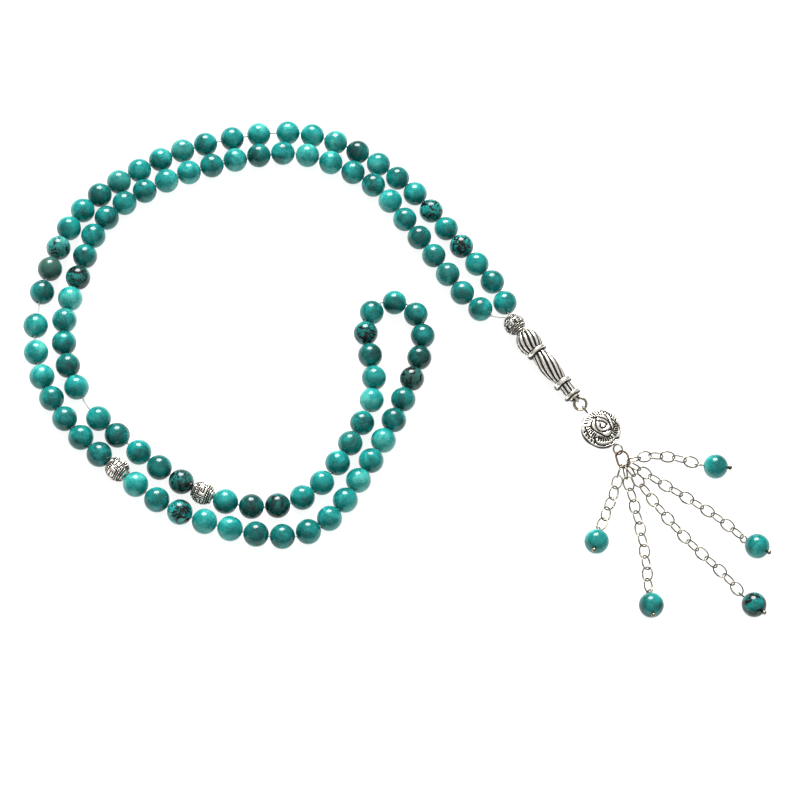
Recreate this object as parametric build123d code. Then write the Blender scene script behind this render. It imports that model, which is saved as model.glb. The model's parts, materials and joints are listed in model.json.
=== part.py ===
"""Misbaha: ninety-nine stone beads, two marker beads and a leader with a chain tassel.

The strand lies doubled on a table.  Units are millimetres, +Z is up, and the
origin is the centre of the footprint, on the table.  X runs along the longer
side of the laid-out strand.
"""
from build123d import *
import math
import os

# ---- strand ---------------------------------------------------------------
BEAD_DIAMETER = 8.0
BEAD_BORE = 1.2
BEAD_PLAY = 0.17          # free space between two neighbouring beads
FOLD_PLAY = 0.30          # the same, where the strand folds
MARKER_DIAMETER = 7.2
MARKER_LENGTH = 6.8
STRING_DIAMETER = 0.7
STRING_BREAK = 0.2        # space between two string ends at a fold
STRING_CLEARANCE = 0.05   # kept between a bent string and a bore

COUNT_PER_THIRD = 33
MARKERS = (COUNT_PER_THIRD, 2 * COUNT_PER_THIRD + 1)
PIECES = 3 * COUNT_PER_THIRD + len(MARKERS)

# extra slack on the string after a piece, counted from the collector bead
SLACK = {0: 0.8, 12: 1.7, 13: 1.0, 14: 1.1, 24: 0.8, 25: 4.2, 26: 1.5, 27: 0.7,
         53: 0.7, 58: 0.7, 61: 0.5, 70: 0.7, 72: 4.8}
SLIDING = {"slack_bead_outer": 26, "slack_bead_inner": 73}

# each fold crosses the doubled strand after one outer and one inner piece
FOLDS = ((5, 94), (11, 89), (17, 83), (23, 78), (34, 68), (40, 63), (45, 59))

# lay of the strand in plan, from the first piece to the last
LAY = ((34.9, 36.0), (25.2, 49.7), (15.3, 62.2), (5.0, 75.0), (-7.0, 85.5), (-21.7, 93.3),
       (-38.0, 96.0), (-56.5, 92.0), (-73.2, 85.9), (-87.0, 77.0), (-99.5, 66.5),
       (-108.6, 53.2), (-113.7, 37.3), (-117.0, 18.5), (-116.0, 6.0), (-109.7, -9.8),
       (-99.8, -22.5), (-88.3, -32.3), (-75.8, -41.9), (-60.9, -48.2), (-45.0, -51.4),
       (-36.7, -51.8), (-28.6, -49.6), (-22.1, -44.3), (-13.5, -30.8), (-5.7, -16.6),
       (0.5, -1.6), (5.8, 14.3), (6.8, 22.4), (4.3, 30.2), (-3.2, 33.6), (-10.6, 28.5),
       (-11.5, 20.1), (-9.0, 8.0), (-10.0, -4.4), (-17.3, -20.0), (-26.1, -34.0),
       (-32.8, -39.2), (-44.8, -42.2), (-60.3, -39.2), (-76.9, -29.8), (-90.2, -19.4),
       (-100.7, -9.0), (-106.2, 4.6), (-108.0, 20.4), (-104.3, 35.7), (-100.4, 51.7),
       (-90.5, 64.7), (-77.6, 73.9), (-62.6, 81.1), (-46.8, 86.3), (-34.8, 88.0),
       (-22.8, 84.8), (-8.6, 77.1), (1.4, 64.6), (11.0, 51.7), (20.2, 38.6), (25.9, 33.0))

# ---- collector and leader -------------------------------------------------
COLLECTOR_DIAMETER = 7.0
COLLECTOR_LENGTH = 6.6
LEADER_HEADING = -51.9    # degrees in plan
LEADER_DROP = 0.039       # fall per unit of length
LEADER_TOP = (4.3, -11.1) # leader's top, from the lay's first point
LEADER_TOP_HEIGHT = 4.4
LEADER_LENGTH = 28.3
LEADER_BORE = 2.5
LEADER_NECK = 1.9         # radius at both mouths
BULB_RADIUS = 4.05
BULB_END = 7.6
COLLAR_RADII = (3.65, 3.3, 3.1)
COLLAR_STARTS = (7.6, 21.0, 26.3)
COLLAR_WIDTHS = (1.4, 1.6, 1.1)
BARREL_RADII = (2.5, 3.2, 2.0)
WAIST_RADIUS = 2.1
STRING_SPREAD = 1.0       # between the two strings in the leader
LEADER_GAP = 0.3
KNOT_DIAMETER = 2.5
KNOT_POCKET = 3.2
KNOT_POCKET_DEPTH = 3.2
FACING = 20.0             # roll of the ring and the pin's eye about the leader axis

# ---- ring, rose and its pin -----------------------------------------------
RING_DIAMETER = 4.6
RING_WIRE = 0.7
WIRE_CLEARANCE = 0.12
EYE_HOLE = 1.9
PIN_WIRE = 0.55
ROSE_DIAMETER = 13.3
ROSE_THICKNESS = 5.2
ROSE_RIM = 2.2            # thickness at the rim
ROSE_GAP = 0.12
PIN_BORE = 0.9
LOWER_EYE_DIAMETER = 3.8
LOWER_EYE_ROLL = 55.0

# ---- tassel ---------------------------------------------------------------
TASSEL_LINK = (6.6, 4.6, 0.7)      # outer length, outer width, wire
TASSEL_LINK_HEADING = -78.0
LINK = (5.2, 3.8, 0.5)             # outer length, outer width, wire
LINK_PLAY = 0.30
LINK_ROLL = 28.0
FIRST_ROLLS = (90.0, 20.0)
FIRST_YIELD = 0.75                 # how far a first link turns from the hook's way to its chain's
LOWEST_LINK = 1.3
LINK_DROP = 0.4                    # from one link to the next, down to the lowest
PIN_EYE_DIAMETER = 3.0
EYE_PLAY = 0.40                     # between a pin's eye and the last link
HEADPIN_WIRE = 0.5
HEADPIN_EYE_ROLL = 60.0
HEADPIN_BALL = 1.5
BEAD_SEAT = 0.2                    # between a pin's eye and its bead
TASSEL_BORE = 0.9

# each chain: where it hooks round the tassel link, in degrees from the link's
# axis, and its lay from the hook onward, from the tassel link's lower centre
CHAINS = {
    "a": (98.0, ((10.0, 3.2), (18.0, 3.0), (26.5, 0.6))),
    "b": (60.0, ((13.5, -6.9), (22.0, -11.9), (30.5, -17.6), (37.4, -23.5))),
    "c": (26.0, ((6.3, -8.4), (13.2, -17.7), (20.7, -26.6), (29.0, -34.8), (36.8, -44.3))),
    "d": (-8.0, ((2.0, -9.6), (4.5, -21.5), (6.0, -33.5), (6.4, -44.0))),
    "e": (-44.0, ((-2.9, -9.0), (-5.2, -15.4), (-8.1, -23.0))),
}
CHAIN_BREAK = {"a": 4, "b": 6, "c": 8, "d": 5, "e": 3}

# ---- derived --------------------------------------------------------------
UP = Vector(0, 0, 1)
BEAD_RADIUS = BEAD_DIAMETER / 2
STRING_RADIUS = STRING_DIAMETER / 2
nodes = {}
pivots = {}


class Route:
    """A smooth line through points, measured by its length."""

    def __init__(self, points, samples):
        curve = Spline(*[Vector(*p) for p in points])
        self.points = [curve.position_at(i / samples) for i in range(samples + 1)]
        self.marks = [0.0]
        for a, b in zip(self.points, self.points[1:]):
            self.marks.append(self.marks[-1] + (b - a).length)
        self.length = self.marks[-1]

    def at(self, mark):
        """The point at this length; past either end the line runs on straight."""
        last = len(self.points) - 2
        low, high = 0, last
        while low < high:
            middle = (low + high + 1) // 2
            if self.marks[middle] <= mark:
                low = middle
            else:
                high = middle - 1
        a, b = self.points[low], self.points[low + 1]
        return a + (b - a) * ((mark - self.marks[low]) / (self.marks[low + 1] - self.marks[low]))

    def step(self, mark, chord):
        """The length at which the line is one chord further on."""
        start = self.at(mark)
        low, high = mark + 0.9 * chord, mark + 2.0 * chord
        for _ in range(40):
            middle = (low + high) / 2
            if (self.at(middle) - start).length < chord:
                low = middle
            else:
                high = middle
        return high


def unit(vector):
    return vector.normalized()


def heading(degrees):
    return Vector(math.cos(math.radians(degrees)), math.sin(math.radians(degrees)), 0)


def rolled(origin, along, roll):
    """A plane whose X is along and whose Z is up, rolled about X."""
    side = unit(UP.cross(along))
    over = along.cross(side)
    lean = math.radians(roll)
    normal = over * math.cos(lean) - side * math.sin(lean)
    return Plane(origin, x_dir=along, z_dir=normal)


def axis_plane(origin, along):
    """A plane whose Z is along and whose X is level."""
    return Plane(origin, x_dir=unit(UP.cross(along)), z_dir=along)


# ---- pieces ---------------------------------------------------------------
def round_bead(diameter, length, bore):
    """A ball bead cut flat at its two mouths, with its bore along Z."""
    ball = Sphere(diameter / 2)
    if length < diameter:
        ball = ball & Box(diameter, diameter, length)
    return ball - Cylinder(bore / 2, diameter + 2)


def wire_ring(diameter, wire):
    return Torus((diameter - wire) / 2, wire / 2)


def wire_link(length, width, wire):
    """A long link in the XY plane, its long axis along X."""
    outline = SlotOverall(length - wire, width - wire).face().outer_wire()
    start = outline @ 0
    section = Plane(start, z_dir=outline % 0) * Circle(wire / 2)
    return sweep(section, path=outline)


def between(start, end, radius):
    """A straight round bar."""
    run = end - start
    bar = Cylinder(radius, run.length, align=(Align.CENTER, Align.CENTER, Align.MIN))
    return Plane(start, z_dir=unit(run)) * bar


def corner_radius(before, corner, after, room):
    """The largest arc that fits both runs and the bores beside the corner."""
    shorter = min((corner - before).length, (after - corner).length)
    half_turn = math.radians((corner - before).get_angle(after - corner)) / 2
    slope = math.tan(half_turn)
    limit = 0.45 * shorter / slope
    mouth, play = room
    reach = 2 * slope * mouth + 2 * play
    root = reach * reach - 4 * slope * slope * mouth * mouth
    in_bores = (reach + math.sqrt(max(root, 0.0))) / (2 * slope * slope)
    return min(limit, in_bores)


def string_tube(name, corners, rooms):
    """A string through these corners, straight runs joined by tangent arcs."""
    kept = [0]
    for i in range(1, len(corners) - 1):
        run_in = corners[i] - corners[kept[-1]]
        run_out = corners[i + 1] - corners[i]
        if run_in.get_angle(run_out) > 0.5:
            kept.append(i)
    kept.append(len(corners) - 1)
    points = [corners[i] for i in kept]
    if len(points) == 2:
        return between(points[0], points[1], STRING_RADIUS)
    radii = []
    for n in range(1, len(points) - 1):
        radii.append(corner_radius(points[n - 1], points[n], points[n + 1], rooms[kept[n]]))
    path = FilletPolyline(*points, radius=radii)
    section = Plane(path @ 0, z_dir=path % 0) * Circle(STRING_RADIUS)
    tube = sweep(section, path=path)
    expected = math.pi * STRING_RADIUS ** 2 * path.length
    print(f"{name}: length {path.length:.1f}, volume ratio {tube.volume / expected:.4f}, "
          f"radii {min(radii):.1f} to {max(radii):.1f}")
    return tube


# ---- lay of the strand ----------------------------------------------------
def piece_radius(index):
    """Half the length of a piece along the string."""
    return MARKER_LENGTH / 2 if index in MARKERS else BEAD_RADIUS


def play_after(index):
    return FOLD_PLAY if index in fold_ends else BEAD_PLAY


def spacing_after(index):
    touching = piece_radius(index) + piece_radius(index + 1)
    return touching + play_after(index) + SLACK.get(index, 0.0)


def lay_scale(route):
    """How much larger the lay must be for the last piece to reach its end."""
    low, high = 0.4, 2.5
    for _ in range(40):
        scale = (low + high) / 2
        mark = 0.0
        for index in range(PIECES - 1):
            mark = route.step(mark, spacing_after(index) / scale)
        if mark > route.length:
            low = scale
        else:
            high = scale
    return high


fold_ends = {end for fold in FOLDS for end in fold}
lay = Route([(x, y, 0) for x, y in LAY], 3000)
SCALE = lay_scale(lay)
print(f"lay scale {SCALE:.4f}")

centres = []
mark = 0.0
for index in range(PIECES):
    spot = lay.at(mark) * SCALE
    centres.append(Vector(spot.X, spot.Y, BEAD_RADIUS))
    if index < PIECES - 1:
        mark = lay.step(mark, spacing_after(index) / SCALE)

# ---- leader axis ----------------------------------------------------------
first = Vector(LAY[0][0], LAY[0][1], 0) * SCALE
leader_top = first + Vector(LEADER_TOP[0], LEADER_TOP[1], LEADER_TOP_HEIGHT)
leader_axis = unit(heading(LEADER_HEADING) - UP * LEADER_DROP)
leader_side = unit(UP.cross(leader_axis))
collector_centre = leader_top - leader_axis * (LEADER_GAP + COLLECTOR_LENGTH / 2)
collector_mouth = collector_centre - leader_axis * (COLLECTOR_LENGTH / 2 + BEAD_PLAY)


def on_leader(distance):
    return leader_top + leader_axis * distance


# string corners: one beside the collector at each end, one after every piece
mouths = [collector_mouth + leader_side * (STRING_SPREAD / 2),
          collector_mouth - leader_side * (STRING_SPREAD / 2)]
stops = [mouths[0]] + centres + [mouths[1]]
directions = []
for before, here, after in zip(stops, stops[1:], stops[2:]):
    directions.append(unit(unit(here - before) + unit(after - here)))
corners = []
for index in range(PIECES - 1):
    run = unit(centres[index + 1] - centres[index])
    reach = piece_radius(index) + play_after(index) / 2
    turn = math.radians(directions[index].get_signed_angle(directions[index + 1], UP))
    outside = run.cross(UP)
    corners.append(centres[index] + run * reach + outside * (reach * math.tan(turn / 2)))
exit_reach = BEAD_RADIUS + BEAD_PLAY / 2
corners.append(centres[-1] + unit(centres[-1] - corners[-1]) * exit_reach)
string_line = [mouths[0]] + corners + [mouths[1]]

spots = []
turns = []
for index in range(PIECES):
    a, b = string_line[index], string_line[index + 1]
    turns.append(unit(b - a))
    spots.append(a + turns[index] * (centres[index] - a).dot(turns[index]))
closest = min((b - a).length - piece_radius(i) - piece_radius(i + 1)
              for i, (a, b) in enumerate(zip(spots, spots[1:])))
print(f"least space between neighbouring beads {closest:.3f}")

# ---- strand sections ------------------------------------------------------
outer_starts = [0] + [fold[0] + 1 for fold in FOLDS]
outer_ends = [fold[0] for fold in FOLDS]
inner_starts = [PIECES - 1] + [fold[1] for fold in FOLDS]
inner_ends = [fold[1] + 1 for fold in FOLDS]
SECTIONS = len(FOLDS) + 1
apart = set(MARKERS) | set(SLIDING.values())

stone = round_bead(BEAD_DIAMETER, BEAD_DIAMETER, BEAD_BORE)
marker = round_bead(MARKER_DIAMETER, MARKER_LENGTH, BEAD_BORE)


def threaded(piece, index):
    return axis_plane(spots[index], turns[index]) * piece


def bead_group(indices):
    return Compound(children=[threaded(stone, i) for i in indices if i not in apart])


def string_piece(name, first_corner, last_corner):
    """The string from one corner to another, cut short at each end that folds."""
    line = list(string_line[first_corner:last_corner + 1])
    trim = STRING_BREAK / 2
    line[0] = line[0] + unit(line[1] - line[0]) * trim
    line[-1] = line[-1] + unit(line[-2] - line[-1]) * trim
    play = BEAD_BORE / 2 - STRING_RADIUS - STRING_CLEARANCE
    rooms = []
    for corner in range(first_corner, last_corner + 1):
        beside = [i for i in (corner - 1, corner) if 0 <= i < PIECES]
        gaps = [(string_line[corner] - spots[i]).length - piece_radius(i) for i in beside]
        rooms.append((max(min(gaps), 0.0), play))
    return string_tube(name, line, rooms)


def end_string(name, corner_list, side):
    """The string from a fold to the far mouth of the collector."""
    far = on_leader(-LEADER_GAP / 2 - STRING_BREAK / 2) + leader_side * (side * STRING_SPREAD / 2)
    trim = STRING_BREAK / 2
    line = [far] + corner_list
    line[-1] = line[-1] + unit(line[-2] - line[-1]) * trim
    play = BEAD_BORE / 2 - STRING_RADIUS - STRING_CLEARANCE
    rooms = [(BEAD_PLAY / 2, play)] * len(line)
    return string_tube(name, line, rooms)


for section in range(SECTIONS):
    name = f"{section + 1}"
    if section < SECTIONS - 1:
        outer = range(outer_starts[section], outer_ends[section] + 1)
        inner = range(inner_ends[section], inner_starts[section] + 1)
        nodes[f"beads_outer_{name}"] = bead_group(outer)
        nodes[f"beads_inner_{name}"] = bead_group(inner)
    else:
        tip = range(outer_starts[section], inner_starts[section] + 1)
        nodes["beads_tip"] = bead_group(tip)
    if section == 0:
        outer_line = string_line[0:outer_ends[0] + 2]
        inner_line = list(reversed(string_line[inner_ends[0]:]))
        strings = [end_string("string_1 outer", outer_line, 1),
                   end_string("string_1 inner", inner_line, -1)]
    elif section < SECTIONS - 1:
        strings = [string_piece(f"string_{name} outer", outer_starts[section],
                                outer_ends[section] + 1),
                   string_piece(f"string_{name} inner", inner_ends[section],
                                inner_starts[section] + 1)]
    else:
        strings = [string_piece("string_tip", outer_starts[section], inner_starts[section] + 1)]
    nodes[f"string_{name}"] = Compound(children=strings)

for letter, index in zip("ab", MARKERS):
    nodes[f"marker_bead_{letter}"] = threaded(marker, index)
    pivots[f"marker_{letter}_spin"] = (spots[index], turns[index])
for name, index in SLIDING.items():
    nodes[name] = threaded(stone, index)
    pivots[name] = (spots[index], turns[index])
for number, (outer, inner) in enumerate(FOLDS, start=1):
    a, b = string_line[outer + 1], string_line[inner + 1]
    pivots[f"fold_{number}"] = (a, unit(b - a))

# ---- collector bead and leader --------------------------------------------
collector = round_bead(COLLECTOR_DIAMETER, COLLECTOR_LENGTH, LEADER_BORE)
nodes["collector_bead"] = axis_plane(collector_centre, leader_axis) * collector


def leader_outline():
    """Half the leader's section, from its top mouth to its bottom one."""
    (c1, c2, c3), (w1, w2, w3) = COLLAR_STARTS, COLLAR_WIDTHS
    r1, r2, r3 = COLLAR_RADII
    b1, b2, b3 = BARREL_RADII
    barrel_start = c1 + w1
    barrel_middle = barrel_start + 0.45 * (c2 - barrel_start)
    bulb_foot = 0.7 * BULB_RADIUS
    bulb = ThreePointArc((LEADER_NECK, 0), (BULB_RADIUS, 0.53 * BULB_END), (bulb_foot, BULB_END))
    collar_a = Polyline((bulb_foot, BULB_END), (r1, c1), (r1, barrel_start), (b1, barrel_start))
    barrel = ThreePointArc((b1, barrel_start), (b2, barrel_middle), (b3, c2))
    lower = Polyline((b3, c2), (r2, c2), (r2, c2 + w2), (WAIST_RADIUS, c2 + w2),
                     (WAIST_RADIUS, c3), (r3, c3), (r3, c3 + w3), (LEADER_NECK, c3 + w3),
                     (LEADER_NECK, LEADER_LENGTH), (0, LEADER_LENGTH), (0, 0), (LEADER_NECK, 0))
    return [bulb, collar_a, barrel, lower]


half = make_face(Wire([edge for line in leader_outline() for edge in line.edges()]))
turned = revolve(Plane.XZ * half, Axis.Z)
bore = Cylinder(LEADER_BORE / 2, 3 * LEADER_LENGTH)
pocket = Cylinder(KNOT_POCKET / 2, KNOT_POCKET_DEPTH, align=(Align.CENTER, Align.CENTER, Align.MAX))
leader = turned - bore - Pos(0, 0, LEADER_LENGTH) * pocket
nodes["leader_bead"] = axis_plane(leader_top, leader_axis) * leader

# the two strings end in a knot, and a loop of the same string holds the ring
facing = rolled(leader_top, leader_axis, FACING)
facing_up = facing.z_dir
ring_wire_at = LEADER_LENGTH + WIRE_CLEARANCE + RING_WIRE / 2 + 0.1
loop_radius = RING_WIRE / 2 + WIRE_CLEARANCE + STRING_RADIUS
knot_centre = on_leader(LEADER_LENGTH - KNOT_POCKET_DEPTH + KNOT_DIAMETER / 2 + 0.2)
knot_ball = Pos(*knot_centre) * Sphere(KNOT_DIAMETER / 2)
bend_centre = on_leader(ring_wire_at)
leg_start = knot_centre + leader_axis * (KNOT_DIAMETER / 4)
bend = [bend_centre + facing_up * loop_radius,
        bend_centre + leader_axis * loop_radius,
        bend_centre - facing_up * loop_radius]
loop_path = Wire([Edge.make_line(leg_start + facing_up * loop_radius, bend[0]),
                  Edge.make_three_point_arc(*bend),
                  Edge.make_line(bend[2], leg_start - facing_up * loop_radius)])
loop_section = Plane(loop_path @ 0, z_dir=loop_path % 0) * Circle(STRING_RADIUS)
nodes["leader_knot"] = (knot_ball + sweep(loop_section, path=loop_path)).solid()
leader_strings = []
for side in (-1, 1):
    start = on_leader(-LEADER_GAP / 2 + STRING_BREAK / 2) + leader_side * (side * STRING_SPREAD / 2)
    end = knot_centre + leader_side * (side * STRING_SPREAD / 2)
    leader_strings.append((between(start, end, STRING_RADIUS) - knot_ball).solid())
nodes["leader_string"] = Compound(children=leader_strings)
pivots["leader_swing"] = (on_leader(-LEADER_GAP / 2), leader_side)
pivots["leader_spin"] = (leader_top, leader_axis)

# ---- ring, rose bead and its pin ------------------------------------------
ring_centre_at = ring_wire_at + (RING_DIAMETER - RING_WIRE) / 2
ring_plane = rolled(on_leader(ring_centre_at), leader_axis, FACING)
nodes["tassel_ring"] = ring_plane * wire_ring(RING_DIAMETER, RING_WIRE)
pivots["ring_swing"] = (on_leader(ring_wire_at), ring_plane.y_dir)

ring_foot_at = ring_centre_at + (RING_DIAMETER - RING_WIRE) / 2
eye_centre_at = ring_foot_at + EYE_HOLE / 2 - RING_WIRE / 2 - WIRE_CLEARANCE
eye_outer = EYE_HOLE / 2 + PIN_WIRE
rose_at = eye_centre_at + eye_outer + ROSE_GAP + ROSE_DIAMETER / 2
lower_eye_at = rose_at + ROSE_DIAMETER / 2 + ROSE_GAP + LOWER_EYE_DIAMETER / 2
upper_eye = rolled(on_leader(eye_centre_at), leader_axis, FACING + 90) * wire_ring(
    EYE_HOLE + 2 * PIN_WIRE, PIN_WIRE)
lower_eye = rolled(on_leader(lower_eye_at), leader_axis, LOWER_EYE_ROLL) * wire_ring(
    LOWER_EYE_DIAMETER, PIN_WIRE)
shank = between(on_leader(eye_centre_at + eye_outer - PIN_WIRE / 2),
                on_leader(lower_eye_at - LOWER_EYE_DIAMETER / 2 + PIN_WIRE / 2), PIN_WIRE / 2)
nodes["rose_pin"] = (upper_eye + shank + lower_eye).solid()
pivots["rose_swing"] = (on_leader(ring_foot_at), ring_plane.y_dir)


# the rose is a puffed disc: the part that two large balls and a round bar share
rose_top = ROSE_THICKNESS / 2
cap_height = rose_top - ROSE_RIM / 2
cap_radius = ((ROSE_DIAMETER / 2) ** 2 + cap_height ** 2) / (2 * cap_height)
cap = Sphere(cap_radius)
lens = Pos(0, 0, rose_top - cap_radius) * cap & Pos(0, 0, cap_radius - rose_top) * cap
disc = lens & Cylinder(ROSE_DIAMETER / 2, 2 * ROSE_THICKNESS)
rim_edges = disc.edges().filter_by(GeomType.CIRCLE)
disc = fillet(rim_edges, 0.35 * ROSE_RIM)
rose = disc - Rot(0, 90, 0) * Cylinder(PIN_BORE / 2, 2 * ROSE_DIAMETER)
nodes["rose_bead"] = rolled(on_leader(rose_at), leader_axis, 0) * rose
pivots["rose_spin"] = (on_leader(rose_at), leader_axis)

# ---- tassel link ----------------------------------------------------------
link_length, link_width, link_wire = TASSEL_LINK
link_heading = heading(TASSEL_LINK_HEADING)
lower_eye_centre = on_leader(lower_eye_at)
eye_wire_radius = (LOWER_EYE_DIAMETER - PIN_WIRE) / 2
hook_on_eye = lower_eye_centre + leader_axis * eye_wire_radius
link_top = hook_on_eye - link_heading * (PIN_WIRE / 2 + WIRE_CLEARANCE + link_wire / 2)
link_centre = link_top + link_heading * ((link_length - link_wire) / 2)
nodes["tassel_link"] = rolled(link_centre, link_heading, 0) * wire_link(*TASSEL_LINK)
pivots["link_swing"] = (hook_on_eye, UP)

# ---- chains ---------------------------------------------------------------
chain_length, chain_width, chain_wire = LINK
chain_pitch = chain_length - 2 * chain_wire - LINK_PLAY
reach = (chain_length - chain_wire) / 2
end_radius = (link_width - link_wire) / 2
end_centre = link_centre + link_heading * ((link_length - link_wire) / 2 - end_radius)
chain_link = wire_link(*LINK)
tassel_stone = round_bead(BEAD_DIAMETER, BEAD_DIAMETER, TASSEL_BORE)


def hook_point(degrees):
    """Where a chain goes round the tassel link's wire, and the way outward."""
    outward = link_heading.rotate(Axis.Z, degrees)
    if abs(degrees) <= 90:
        return end_centre + outward * end_radius, outward
    back = math.tan(math.radians(abs(degrees) - 90)) * end_radius
    side = link_heading.rotate(Axis.Z, math.copysign(90, degrees))
    return end_centre + side * end_radius - link_heading * back, side


def chain_pieces(name, hook_angle, plan):
    """One chain: its links in two lengths, a headpin and a bead."""
    hook, outward = hook_point(hook_angle)
    inside = link_wire / 2 + WIRE_CLEARANCE + chain_wire / 2
    leaving = unit(Vector(end_centre.X + plan[0][0] - hook.X, end_centre.Y + plan[0][1] - hook.Y, 0))
    outward = unit(outward * (1 - FIRST_YIELD) + leaving * FIRST_YIELD)
    first_centre = hook + outward * (reach - inside)
    points = [(first_centre.X, first_centre.Y, 0)]
    for x, y in plan:
        points.append((end_centre.X + x, end_centre.Y + y, 0))
    route = Route(points, 400)
    eye_radius = (PIN_EYE_DIAMETER - HEADPIN_WIRE) / 2
    into_eye = chain_wire / 2 + EYE_PLAY + HEADPIN_WIRE / 2
    tail = reach - into_eye + eye_radius
    count = round((route.length - tail) / chain_pitch) + 1
    marks = [0.0]
    for _ in range(count - 1):
        marks.append(route.step(marks[-1], chain_pitch))
    eye_mark = marks[-1] + tail
    stops = []
    for n, mark in enumerate(marks + [eye_mark]):
        height = max(LOWEST_LINK, first_centre.Z - n * LINK_DROP)
        stops.append(route.at(mark) + UP * height)
    rolls = list(FIRST_ROLLS)
    while len(rolls) < count:
        rolls.append(math.copysign(LINK_ROLL, -rolls[-1]))
    links = []
    for n in range(count):
        along = unit(stops[n + 1] - stops[n - 1]) if n else outward
        links.append(rolled(stops[n], along, rolls[n]) * chain_link)
    split = CHAIN_BREAK[name]
    nodes[f"chain_{name}_upper"] = Compound(children=links[:split])
    nodes[f"chain_{name}_lower"] = Compound(children=links[split:])
    eye = stops[-1]
    last = unit(eye - stops[-2])
    along = unit(Vector(last.X, last.Y, 0))
    bead_at = eye_radius + HEADPIN_WIRE / 2 + BEAD_SEAT + BEAD_RADIUS
    climb = BEAD_RADIUS - eye.Z
    along = unit(along * math.sqrt(bead_at ** 2 - climb ** 2) + UP * climb)
    ball_at = bead_at + BEAD_RADIUS + 0.1 + HEADPIN_BALL / 2
    roll = math.copysign(HEADPIN_EYE_ROLL, -rolls[-1])
    loop = rolled(eye, along, roll) * wire_ring(PIN_EYE_DIAMETER, HEADPIN_WIRE)
    shaft = between(eye + along * eye_radius, eye + along * ball_at, HEADPIN_WIRE / 2)
    ball = Pos(*(eye + along * ball_at)) * Sphere(HEADPIN_BALL / 2)
    nodes[f"headpin_{name}"] = (loop + shaft + ball).solid()
    bead_spot = eye + along * bead_at
    nodes[f"tassel_bead_{name}"] = axis_plane(bead_spot, along) * tassel_stone
    middle = (stops[split - 1] + stops[split]) * 0.5
    flat = unit(Vector(along.X, along.Y, 0))
    pivots[f"chain_{name}_swing"] = (hook, unit(UP.cross(outward)))
    pivots[f"chain_{name}_bend"] = (middle, UP)
    pivots[f"pin_{name}_swing"] = (eye - along * eye_radius, unit(UP.cross(flat)))
    pivots[f"bead_{name}_spin"] = (bead_spot, along)
    print(f"chain {name}: {count} links, hook {hook.X:.1f}, {hook.Y:.1f}, "
          f"bead at {bead_spot.X:.1f}, {bead_spot.Y:.1f}, lies {route.length - eye_mark:.1f} short")


for letter, (hook_angle, plan) in CHAINS.items():
    chain_pieces(letter, hook_angle, plan)

# ---- move to the footprint's centre and write ------------------------------
whole = Compound(children=[Compound(children=shape.solids()) for shape in nodes.values()])
box = whole.bounding_box()
SHIFT = Vector(-(box.min.X + box.max.X) / 2, -(box.min.Y + box.max.Y) / 2, -box.min.Z)
print("size", box.size, "shift", SHIFT)

os.makedirs("parts", exist_ok=True)
for name, shape in nodes.items():
    solids = [solid.moved(Location(SHIFT)) for solid in shape.solids()]
    placed = solids[0] if len(solids) == 1 else Compound(children=solids)
    export_step(placed, f"parts/{name}.step")
for name, (point, direction) in pivots.items():
    pivots[name] = (point + SHIFT, direction)
print(len(nodes), "nodes")
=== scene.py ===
"""Looks of the misbaha: stone beads, engraved silver beads, a turned leader and a chain tassel."""

import json
import logging
import math
import random
from dataclasses import dataclass
from enum import Enum
from typing import Dict, List, Sequence, Tuple, Union

import bpy
import numpy as np
from mathutils import Matrix, Vector

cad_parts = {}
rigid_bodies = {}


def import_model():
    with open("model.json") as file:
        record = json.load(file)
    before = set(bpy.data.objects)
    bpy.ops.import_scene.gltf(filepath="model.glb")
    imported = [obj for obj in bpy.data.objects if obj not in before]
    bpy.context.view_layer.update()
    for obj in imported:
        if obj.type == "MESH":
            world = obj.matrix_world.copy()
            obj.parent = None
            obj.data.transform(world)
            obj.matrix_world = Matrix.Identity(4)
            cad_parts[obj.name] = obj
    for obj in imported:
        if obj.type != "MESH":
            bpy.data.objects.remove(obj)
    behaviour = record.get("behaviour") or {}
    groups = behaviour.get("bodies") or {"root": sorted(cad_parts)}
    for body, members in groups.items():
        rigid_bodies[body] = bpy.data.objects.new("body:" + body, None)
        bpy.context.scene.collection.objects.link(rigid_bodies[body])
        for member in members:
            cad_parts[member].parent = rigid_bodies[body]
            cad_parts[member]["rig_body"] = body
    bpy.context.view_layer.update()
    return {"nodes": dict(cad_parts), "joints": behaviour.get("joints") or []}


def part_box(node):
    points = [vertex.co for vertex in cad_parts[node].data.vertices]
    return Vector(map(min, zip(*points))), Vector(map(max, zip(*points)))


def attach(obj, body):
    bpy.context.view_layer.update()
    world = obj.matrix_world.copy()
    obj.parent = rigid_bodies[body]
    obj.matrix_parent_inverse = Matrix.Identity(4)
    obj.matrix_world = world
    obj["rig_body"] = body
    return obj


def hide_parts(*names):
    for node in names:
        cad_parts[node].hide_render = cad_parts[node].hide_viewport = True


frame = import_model()

log = logging.getLogger("misbaha")
MM = 0.001
FULL_TURN = 2 * math.pi
UP = Vector((0.0, 0.0, 1.0))
WHITE = (1.0, 1.0, 1.0)
FAR = 1e3                   # mm, farther than any carved line
# Painted shade: the silver is darkened where it faces down or sideways.
UNDERSIDE_SHADE = 0.36           # darkness of silver on its underside

Point = Tuple[float, float]
Colour = Tuple[float, float, float]
Socket = bpy.types.NodeSocket
Value = Union[Socket, float]
Tone = Union[Socket, Colour]


class Slot(Enum):
    """Material slots of the record."""

    STONE = "turquoise"
    SILVER = "antique_silver"
    WIRE = "antique_wire"
    BRONZE = "bronze_wire"
    STRING = "string"


# ---- meshes ----------------------------------------------------------------
def only(piece: bpy.types.Object) -> None:
    """Make one object the active and only selected one.

    Args:
        piece: The object to select.
    """
    bpy.ops.object.select_all(action="DESELECT")
    piece.select_set(True)
    bpy.context.view_layer.objects.active = piece


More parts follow.
